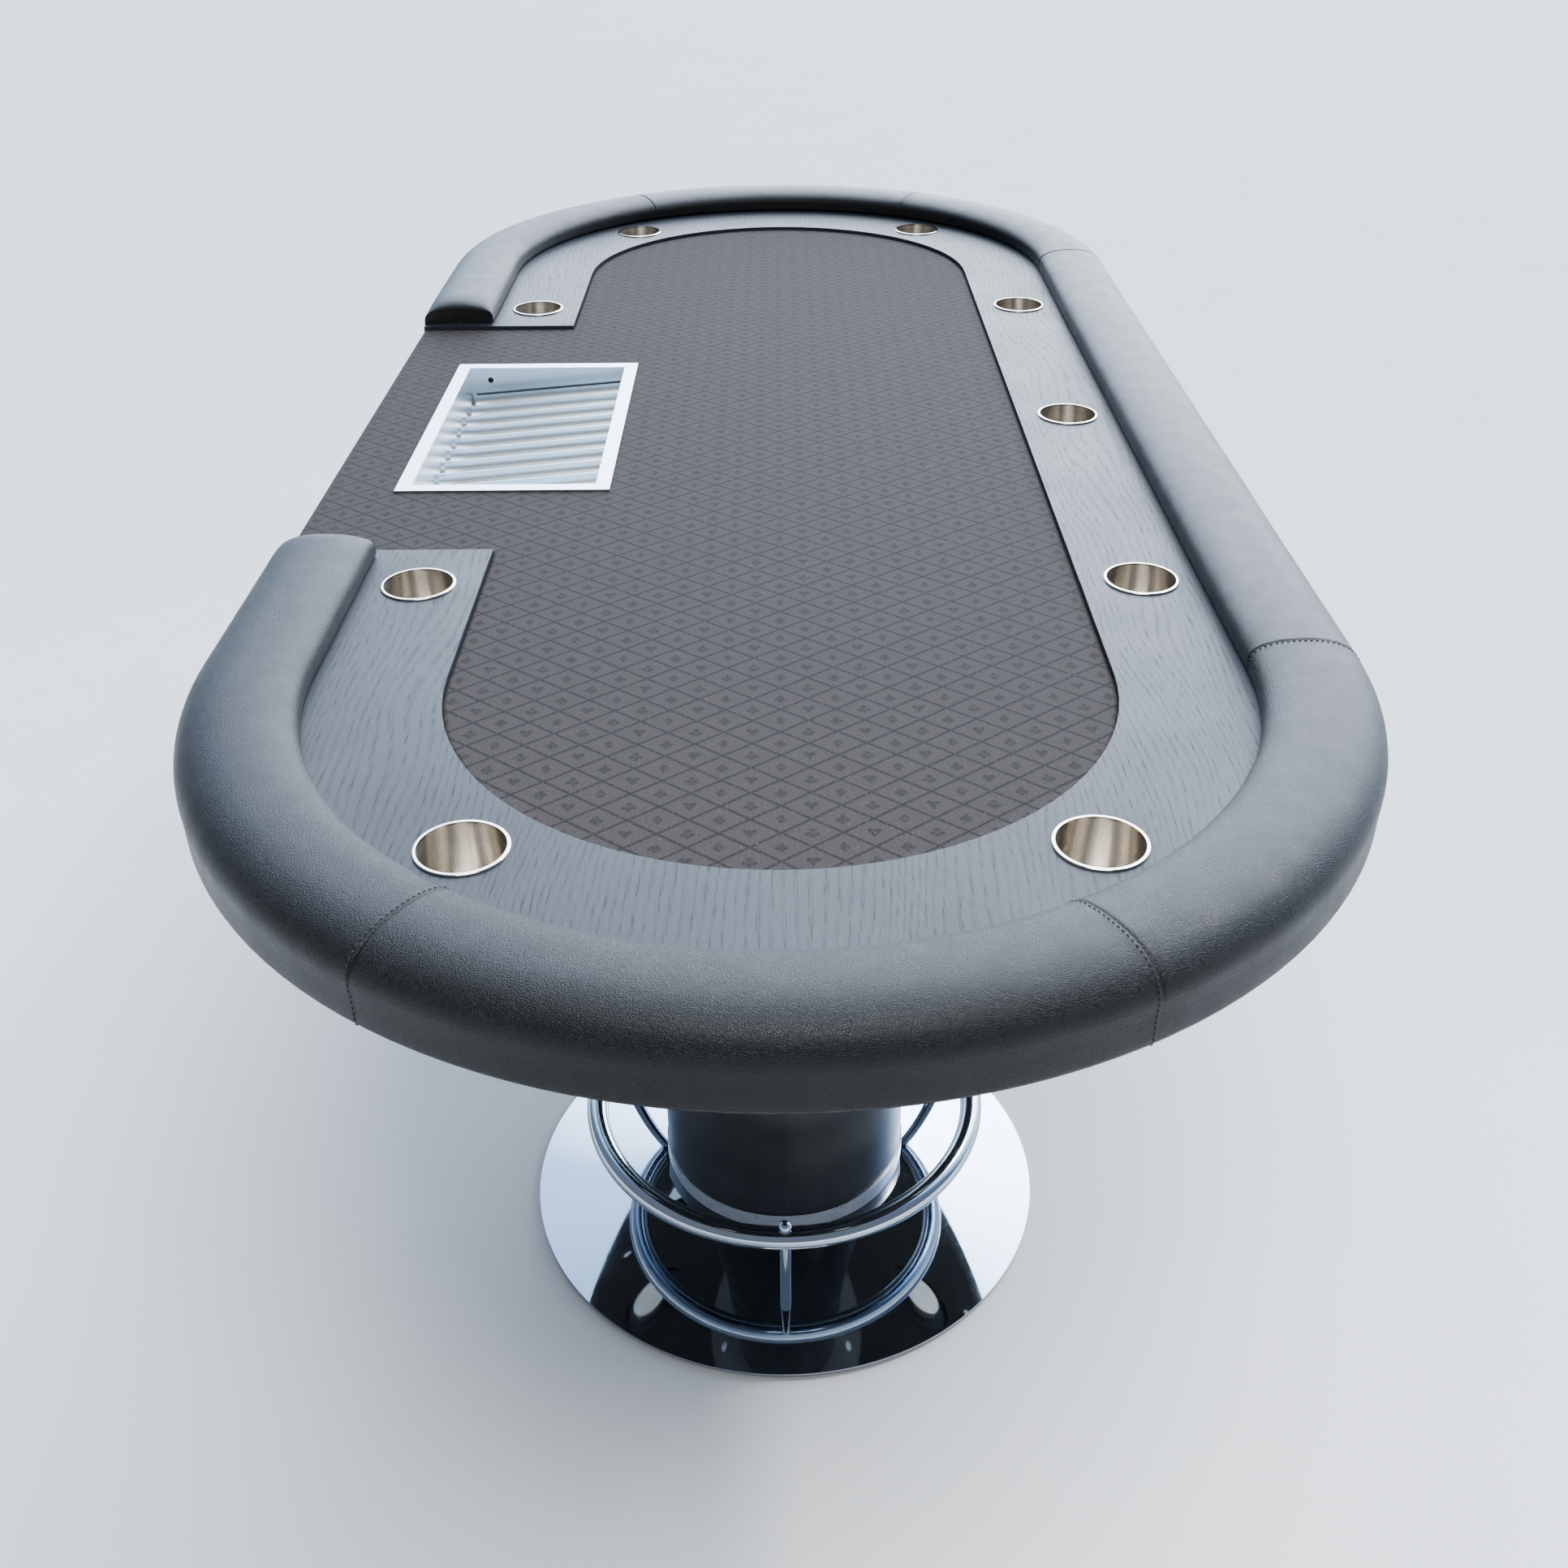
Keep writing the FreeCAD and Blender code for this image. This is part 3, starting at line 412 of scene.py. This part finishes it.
def aluminium(name, scale, mitre=None):
    """Satin anodised aluminium, drawn along one way, or along each side of a mitred frame."""
    paint = Paint(name)
    lines = paint.noise(1.0, 3.0, paint.stretched(scale))
    tone = lines
    if mitre:
        centre_y, half_x, half_y = mitre
        x, y, _ = paint.axes()
        to_end = paint.math("SUBTRACT", half_x, paint.math("ABSOLUTE", x))
        to_side = paint.math("ABSOLUTE", paint.math("SUBTRACT", y, centre_y))
        to_side = paint.math("SUBTRACT", half_y, to_side)
        turned = paint.math("GREATER_THAN", to_side, to_end)
        other = paint.noise(1.0, 3.0, paint.stretched((scale[1], scale[0], scale[2])))
        tone = paint.node("Mix", {0: turned, 2: lines, 3: other}).outputs[0]
        gap = paint.math("ABSOLUTE", paint.math("SUBTRACT", to_side, to_end))
        joint = paint.ramp(gap, 0.0002, 0.0005, 1.0, 0.0)
    colour = paint.mix(tone, (0.42, 0.47, 0.51), (0.50, 0.56, 0.60))
    if mitre:
        colour = paint.mix(joint, colour, (0.14, 0.14, 0.14))
    paint.bump(tone, 0.00001, 0.5)
    rough = paint.ramp(tone, 0.2, 0.8, 0.27, 0.35)
    return paint.surface(Base_Color=colour, Metallic=1.0, Roughness=rough)


def coated(name, colour, roughness, peel):
    """Sprayed or powder coated metal, cast iron or rubber."""
    paint = Paint(name)
    skin = paint.noise(peel, 3.0)
    scuff = paint.noise(24.0, 4.0)
    tone = paint.mix(paint.ramp(scuff, 0.35, 0.75), colour, tuple(part * 1.5 for part in colour))
    paint.bump(skin, 0.00012, 0.35)
    rough = paint.ramp(scuff, 0.25, 0.8, roughness, roughness + 0.1)
    return paint.surface(Base_Color=tone, Roughness=rough, Specular_IOR_Level=0.5)


def foam():
    """Open-cell foam, hidden inside."""
    paint = Paint("cell_foam")
    pores = paint.cells(600.0)
    paint.bump(pores, 0.0004)
    colour = paint.mix(pores, (0.5, 0.46, 0.36), (0.75, 0.72, 0.62))
    return paint.surface(Base_Color=colour, Roughness=0.95)


# ================================================================ padded rail
def rail_side():
    """The rail's section from its inside foot over the crown to the fold under the deck."""
    points = [(RAIL_INNER + 0.004, RACETRACK_TOP + 0.0002)]
    points.append((RAIL_INNER + 0.001, RACETRACK_TOP + 0.0014))
    wall = spread(RACETRACK_TOP + 0.004, INNER_WALL_TOP, WALL_STEPS)
    points += [(RAIL_INNER, height) for height in wall]
    power = 2.0 / CROWN_POWER
    for step in range(1, CROWN_STEPS + 1):
        angle = math.pi / 2 * step / CROWN_STEPS
        out = RAIL_CROWN - (RAIL_CROWN - RAIL_INNER) * math.cos(angle) ** power
        rise = (RAIL_TOP - INNER_WALL_TOP) * math.sin(angle) ** power
        points.append((out, INNER_WALL_TOP + rise))
    for step in range(CROWN_STEPS - 1, -1, -1):
        angle = math.pi / 2 * step / CROWN_STEPS
        out = RAIL_CROWN + (RAIL_OUTER - RAIL_CROWN) * math.cos(angle) ** power
        points.append((out, SIDE_TOP + (RAIL_TOP - SIDE_TOP) * math.sin(angle) ** power))
    skirt = RAIL_OUTER - SKIRT_STEP
    points += [(RAIL_OUTER - 0.0003, SIDE_TOP - 0.0025), (skirt + 0.0004, SIDE_TOP - 0.006)]
    fall = spread(SIDE_TOP - 0.010, SKIRT_BOTTOM + 0.004, WALL_STEPS)
    points += [(skirt, height) for height in fall]
    points += [(skirt - 0.0010, SKIRT_BOTTOM + 0.0012), (skirt - 0.0035, SKIRT_BOTTOM)]
    points.append((skirt - FOLD_UNDER, SKIRT_BOTTOM))
    return points


SIDE = rail_side()


def side_normals():
    """Outward directions of the rail's section at its points."""
    normals = []
    for index in range(len(SIDE)):
        before = SIDE[max(index - 1, 0)]
        after = SIDE[min(index + 1, len(SIDE) - 1)]
        along = Vector((after[0] - before[0], after[1] - before[1])).normalized()
        normals.append(Vector((-along.y, along.x)))
    return normals


SIDE_NORMALS = side_normals()

# The rail's line runs from the dealer's near end, round the table, to the far end.
DEALER_RUN = STRAIGHT - RAIL_END_X
END_RUN = math.pi * RAIL_CROWN
PLAYER_RUN = 2 * STRAIGHT
CORNERS = [DEALER_RUN, DEALER_RUN + END_RUN, DEALER_RUN + END_RUN + PLAYER_RUN]
CORNERS.append(CORNERS[-1] + END_RUN)
RAIL_LENGTH = CORNERS[-1] + DEALER_RUN


def rail_place(distance):
    """Point on the centre line and direction outward, a distance along the rail."""
    if distance <= CORNERS[0]:
        return Vector((RAIL_END_X + distance, 0)), Vector((0, -1))
    if distance < CORNERS[1]:
        angle = (distance - CORNERS[0]) / RAIL_CROWN - math.pi / 2
        return Vector((STRAIGHT, 0)), Vector((math.cos(angle), math.sin(angle)))
    if distance <= CORNERS[2]:
        return Vector((STRAIGHT - (distance - CORNERS[1]), 0)), Vector((0, 1))
    if distance < CORNERS[3]:
        angle = (distance - CORNERS[2]) / RAIL_CROWN + math.pi / 2
        return Vector((-STRAIGHT, 0)), Vector((math.cos(angle), math.sin(angle)))
    return Vector((-STRAIGHT + distance - CORNERS[3], 0)), Vector((0, -1))


def rail_point(distance, index, inset):
    """A point of the cover's section, pulled in from its full outline."""
    centre, outward = rail_place(distance)
    out = SIDE[index][0] - SIDE_NORMALS[index].x * inset
    height = SIDE[index][1] - SIDE_NORMALS[index].y * inset
    return Vector((centre.x + outward.x * out, centre.y + outward.y * out, height))


def padding(distance, index):
    """Gentle unevenness of the stuffed cover, more on the foam than on the skirt."""
    point = rail_point(distance, index, 0.0)
    soft = min(1.0, max(0.0, (point.z - RACETRACK_TOP) / SWELL_FADE))
    broad = noise.noise(point * 5.5)
    close = noise.noise(point * 24.0 + Vector((7.0, 3.0, 1.0)))
    return soft * (BROAD_SWELL * broad + CLOSE_SWELL * close + SWELL_LEVEL) + SKIN_GAP


def seam_pull(gap, point):
    """How far a seam draws the cover in, with small puckers beside it."""
    pucker = PUCKER * noise.noise(point * 90.0) * math.exp(-(gap / PUCKER_WIDTH) ** 2)
    return SEAM_DEPTH * math.exp(-(gap / SEAM_WIDTH) ** 2) + pucker


def cover_inset(distance, index, start, end):
    """How far the cover lies inside its outline at one point of a panel."""
    point = rail_point(distance, index, 0.0)
    inset = padding(distance, index)
    soft = min(1.0, max(0.1, (point.z - RACETRACK_TOP) / SEAM_FADE))
    for seam, gap in ((start, distance - start), (end, end - distance)):
        if 0.0 < seam < RAIL_LENGTH:
            inset += seam_pull(gap, point) * soft
        elif gap < END_LENGTH:
            above = point.z - RACETRACK_TOP - SWELL_FADE
            lift = max(0.0, above / (RAIL_TOP - RACETRACK_TOP))
            drawn = 1 - math.sqrt(1 - (1 - gap / END_LENGTH) ** 2)
            inset += END_DEPTH * drawn * min(1.0, lift * 1.5)
    return inset


def section_places(start, end):
    """Where a panel's sections go, closer together at its two ends."""
    def close_to(place, inward):
        if 0.0 < place < RAIL_LENGTH:
            shares = [(step / SEAM_STEPS) ** 1.6 for step in range(SEAM_STEPS)]
        else:
            quarter = math.pi / 2
            shares = [1 - math.cos(quarter * step / END_STEPS) for step in range(END_STEPS)]
        return [place + inward * (SEAM_REACH * share) for share in shares]

    middle_start = start + SEAM_REACH
    middle_end = end - SEAM_REACH
    count = max(2, round((middle_end - middle_start) / SECTION_STEP))
    middle = spread(middle_start, middle_end, count)
    return close_to(start, 1) + middle + close_to(end, -1)[::-1]


def rail_panel(name, start, end, material, hidden):
    """One sewn panel of the rail's cover, which also stands for the foam under it."""
    places = section_places(start, end)
    vertices = []
    for place in places:
        vertices += [rail_point(place, index, cover_inset(place, index, start, end))
                     for index in range(len(SIDE))]
    faces = [face[::-1] for face in grid_faces(len(places), len(SIDE))]
    foot = len(SIDE) + CAP_FOOT
    for free_end, row in ((start, 0), (end, len(places) - 1)):
        if free_end in (0.0, RAIL_LENGTH):
            cap = vertices[row * len(SIDE):row * len(SIDE) + foot + 1]
            first = len(vertices)
            vertices += [point.copy() for point in cap]
            ring = tuple(range(first, first + len(cap)))
            faces.append(ring if free_end == 0.0 else ring[::-1])
    panel = add_mesh(name, vertices, faces, material)
    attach(panel, "table")
    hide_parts(*hidden)


def stitch(start, end, lift):
    """Vertices and faces of one stitch, a short thread that dives in at both ends."""
    along = (end - start).normalized()
    side = along.cross(lift).normalized()
    vertices, faces = [], []
    rings = ((0.0, -1.3), (0.2, 0.3), (0.5, 0.6), (0.8, 0.3), (1.0, -1.3))
    for share, rise in rings:
        centre = start.lerp(end, share) + lift * (rise * STITCH_RADIUS)
        for corner in range(STITCH_SIDES):
            angle = 2 * math.pi * corner / STITCH_SIDES
            spoke = side * math.cos(angle) + lift * math.sin(angle)
            vertices.append(centre + spoke * STITCH_RADIUS)
    for ring in range(len(rings) - 1):
        for corner in range(STITCH_SIDES):
            a = ring * STITCH_SIDES + corner
            b = ring * STITCH_SIDES + (corner + 1) % STITCH_SIDES
            faces.append((a, b, b + STITCH_SIDES, a + STITCH_SIDES))
    return vertices, faces


def stitch_row(seam, panel_start, panel_end):
    """Stitches over the rail beside one seam."""
    line = seam - STITCH_OFFSET
    points, lifts = [], []
    for index in range(STITCH_FIRST, len(SIDE) - STITCH_LAST):
        inset = cover_inset(line, index, panel_start, panel_end)
        points.append(rail_point(line, index, inset))
        lifts.append((rail_point(line, index, 0.0) - rail_point(line, index, 0.01)).normalized())
    vertices, faces = [], []
    travelled, due = 0.0, 0.0
    for index in range(len(points) - 1):
        run = points[index + 1] - points[index]
        while due < travelled + run.length:
            start = points[index] + run.normalized() * (due - travelled)
            end = start + run.normalized() * STITCH_LENGTH
            new_vertices, new_faces = stitch(start, end, lifts[index])
            first = len(vertices)
            vertices += new_vertices
            faces += [tuple(first + corner for corner in face) for face in new_faces]
            due += STITCH_PITCH
        travelled += run.length
    return vertices, faces


def build_rail():
    """The seven panels and the stitches of their six seams."""
    def near(degrees):
        return CORNERS[0] + math.radians(degrees + 90) * RAIL_CROWN

    def far(degrees):
        return CORNERS[2] + math.radians(degrees) * RAIL_CROWN

    marks = [0.0, near(NEAR_SEAM_DEALER), near(NEAR_SEAM_PLAYER), CORNERS[1], CORNERS[2]]
    marks += [far(FAR_SEAM_PLAYER), far(FAR_SEAM_DEALER), RAIL_LENGTH]
    names = ["dealer_near", "near_end", "near_corner", "player_side", "far_corner", "far_end",
             "dealer_far"]
    foams = {"near_end": ["rail_foam_near_end"], "player_side": ["rail_foam_player_side"],
             "far_end": ["rail_foam_far_end"]}
    skin = vinyl()
    sewing = thread()
    for number, name in enumerate(names):
        hidden = ["rail_cover_" + name] + foams.get(name, [])
        rail_panel("rail_panel_" + name, marks[number], marks[number + 1], skin, hidden)
    for number in range(1, len(marks) - 1):
        row = stitch_row(marks[number], marks[number - 1], marks[number])
        stitches = add_mesh("seam_stitches_" + str(number), *row, sewing)
        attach(stitches, "table")


# ================================================================ playing cloth
def cloth_line(inset):
    """The cloth's edge along the racetrack, from the near cut to the far cut."""
    radius = WINDOW - inset
    cut = CUT_X - inset
    line = [Vector((cut, y)) for y in spread(-CLOTH_FOLD, -radius, SIDE_STEPS)]
    line += [Vector((x, -radius)) for x in spread(cut, STRAIGHT, SIDE_STEPS)[1:-1]]
    for step in range(ARC_STEPS + 1):
        angle = math.pi * (step / ARC_STEPS - 0.5)
        line.append(Vector((STRAIGHT + radius * math.cos(angle), radius * math.sin(angle))))
    near_half = len(line)
    line += [Vector((x, radius)) for x in spread(STRAIGHT, -STRAIGHT, PLAYER_STEPS)[1:-1]]
    mirrored = [Vector((-point.x, point.y)) for point in line[:near_half]]
    return line + mirrored[::-1]


def build_cloth():
    """The playing cloth, tucked in at the racetrack and wrapped over the dealer's edge."""
    tub_low, tub_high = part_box("tray_tub")
    hole = [(tub_low.x - HOLE_MARGIN, tub_low.y - HOLE_MARGIN),
            (tub_high.x + HOLE_MARGIN, tub_low.y - HOLE_MARGIN),
            (tub_high.x + HOLE_MARGIN, tub_high.y + HOLE_MARGIN),
            (tub_low.x - HOLE_MARGIN, tub_high.y + HOLE_MARGIN)]
    board_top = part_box("playfield_board")[1].z
    vertices, faces = [], []
    for inset, dip in EDGE_DIPS:
        vertices += [(point.x, point.y, CLOTH_TOP - dip) for point in cloth_line(inset)]
    columns = len(cloth_line(0.0))
    faces += [face[::-1] for face in grid_faces(len(EDGE_DIPS), columns)]

    edge = (len(EDGE_DIPS) - 1) * columns
    ring = list(range(edge, edge + columns))
    front_columns = [(CUT_X - inset, dip) for inset, dip in EDGE_DIPS]
    flat_x = CUT_X - EDGE_DIPS[-1][0]
    front_columns += [(x, 0.0) for x in spread(flat_x, -flat_x, FRONT_STEPS)[1:-1]]
    front_columns += [(-x, dip) for x, dip in front_columns[:len(EDGE_DIPS)][::-1]]
    drop = CLOTH_TOP - (DECK_BOTTOM - CLOTH_DROP)
    rows = list(WRAP)
    rows += [(WRAP[-1][0], depth) for depth in spread(DROP_START, drop, DROP_STEPS)]
    first = len(vertices)
    for out, depth in rows:
        slope = min(1.0, out / WRAP[-1][0])
        for x, dip in front_columns:
            height = CLOTH_TOP - depth - dip * (1 - slope)
            vertices.append((x, -CLOTH_FOLD - out + dip * slope, height))
    faces += grid_faces(len(rows), len(front_columns), first)

    inner = first + len(EDGE_DIPS) - 1
    front = list(range(inner, inner + FRONT_STEPS))
    outline = ring + front[1:-1][::-1]
    hole_first = len(vertices)
    vertices += [(x, y, CLOTH_TOP) for x, y in hole]
    vertices += [(x, y, CLOTH_TOP - HOLE_LIP) for x, y in hole]
    vertices += [(x, y, board_top + HOLE_FOOT) for x, y in hole]
    sides = len(hole)
    for level in (0, sides):
        for corner in range(sides):
            a = hole_first + level + corner
            b = hole_first + level + (corner + 1) % sides
            faces.append((a, a + sides, b + sides, b))
    sheet = add_mesh("playing_cloth", vertices, faces, cloth())
    fill_flat(sheet, outline, [hole_first + corner for corner in range(sides)])
    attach(sheet, "table")
    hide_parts("playfield_cloth", "playfield_foam")


def fill_flat(sheet, outline, hole):
    """Fill the flat middle of the cloth between its outline and the tray's hole."""
    work = bmesh.new()
    work.from_mesh(sheet.data)
    work.verts.ensure_lookup_table()
    edges = []
    for loop in (outline, hole):
        corners = [work.verts[index] for index in loop]
        for a, b in zip(corners, corners[1:] + corners[:1]):
            edges.append(work.edges.get((a, b)) or work.edges.new((a, b)))
    made = bmesh.ops.triangle_fill(work, use_beauty=True, use_dissolve=False, edges=edges)
    for face in made["geom"]:
        if isinstance(face, bmesh.types.BMFace):
            face.smooth = False
    bmesh.ops.recalc_face_normals(work, faces=work.faces)
    work.to_mesh(sheet.data)
    work.free()


# ================================================================ CAD nodes
def finish_nodes():
    """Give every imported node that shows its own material."""
    tray_low, tray_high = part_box("tray_flange")
    mitre = ((tray_low.y + tray_high.y) / 2, tray_high.x, (tray_high.y - tray_low.y) / 2)
    ply = oak("dark_ply", (0.006, 0.0058, 0.0055), (0.004, 0.0038, 0.0036), 0.6, 0.00004)
    stained = oak("racetrack_oak", (0.016, 0.020, 0.026), (0.009, 0.011, 0.015), 0.38, 0.00005)
    cups = turned_steel("cup_steel", (0.66, 0.61, 0.54), 0.20, 0.85, RACETRACK_TOP)
    steel = turned_steel("fastener_steel", (0.50, 0.50, 0.50), 0.30, 0.3)
    bright = chrome("ring_chrome", 0.07)
    drawn = aluminium("tray_drawn", (2500.0, 3.0, 2500.0))
    hidden_foam = foam()
    rules = [
        ("cup_holder_", cups),
        ("tray_flange", aluminium("tray_frame", (3.0, 1600.0, 1600.0), mitre)),
        ("tray_", drawn),
        ("racetrack", stained),
        ("base_cover", chrome("base_chrome", 0.022)),
        ("base_weight", coated("cast_iron", (0.05, 0.05, 0.05), 0.6, 300.0)),
        ("floor_pads", coated("pad_rubber", (0.02, 0.02, 0.02), 0.8, 500.0)),
        ("column_band", turned_steel("band_steel", (0.74, 0.75, 0.77), 0.24, 0.6)),
        ("_column", coated("column_black", (0.0075, 0.008, 0.011), 0.30, 240.0)),
        ("top_plate", coated("plate_black", (0.02, 0.02, 0.02), 0.5, 400.0)),
        ("foot_ring", bright), ("ring_post", bright), ("dome_nuts", bright),
        ("tie_", steel), ("screws", steel), ("rail_bolts", steel),
        ("deck_board", ply), ("playfield_board", ply), ("rail_board", ply),
        ("foam", hidden_foam), ("playfield_cloth", hidden_foam), ("rail_cover", hidden_foam),
    ]
    for name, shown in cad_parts.items():
        material = next(paint for part, paint in rules if part in name)
        shown.data.materials.clear()
        shown.data.materials.append(material)


# ================================================================ stage and light
def build_floor():
    """A pale floor, which isn't part of the table."""
    corners = [(-FLOOR_REACH, -FLOOR_REACH, 0), (FLOOR_REACH, -FLOOR_REACH, 0),
               (FLOOR_REACH, FLOOR_REACH, 0), (-FLOOR_REACH, FLOOR_REACH, 0)]
    paint = Paint("floor_pale")
    tone = paint.mix(paint.noise(3.0), *FLOOR_TONES)
    pale = paint.surface(Base_Color=tone, Roughness=0.9)
    add_mesh("floor", corners, [(0, 1, 2, 3)], pale)


def build_sky():
    """A soft sky, brightest on one side, with a sun and a large soft lamp."""
    world = bpy.data.worlds.new("sky")
    bpy.context.scene.world = world
    world.use_nodes = True
    tree = world.node_tree
    background = tree.nodes["Background"]
    place = tree.nodes.new("ShaderNodeTexCoord")
    towards = tree.nodes.new("ShaderNodeVectorMath")
    towards.operation = "DOT_PRODUCT"
    towards.inputs[1].default_value = Vector(SKY_BRIGHTEST).normalized()
    ramp = tree.nodes.new("ShaderNodeValToRGB")
    stops = ramp.color_ramp.elements
    stops[0].color = (*SKY_AWAY, 1)
    stops[1].color = (*SKY_GLOW, 1)
    for position, colour in SKY_BETWEEN:
        stops.new(position).color = (*colour, 1)
    tree.links.new(place.outputs["Generated"], towards.inputs[0])
    tree.links.new(towards.outputs["Value"], ramp.inputs[0])
    tree.links.new(ramp.outputs[0], background.inputs["Color"])

    sun = add_lamp("sun", "SUN", SUN_ENERGY, SUN_FROM)
    sun.angle = math.radians(SUN_ANGLE)
    sun.color = SUN_COLOUR
    add_lamp("overhead", "AREA", LAMP_ENERGY, LAMP_FROM, LAMP_PLACE).size = LAMP_SIZE


def build_camera():
    """The camera, at the near end and above the table."""
    data = bpy.data.cameras.new("camera")
    data.sensor_width = SENSOR_WIDTH
    data.lens = LENS
    camera = add_object("camera", data)
    pose = Matrix.Translation(CAMERA_PLACE)
    for degrees, axis in CAMERA_TURNS:
        pose = pose @ Matrix.Rotation(math.radians(degrees), 4, axis)
    camera.matrix_world = pose
    bpy.context.scene.camera = camera


build_camera()
finish_nodes()
build_rail()
build_cloth()
build_floor()
build_sky()
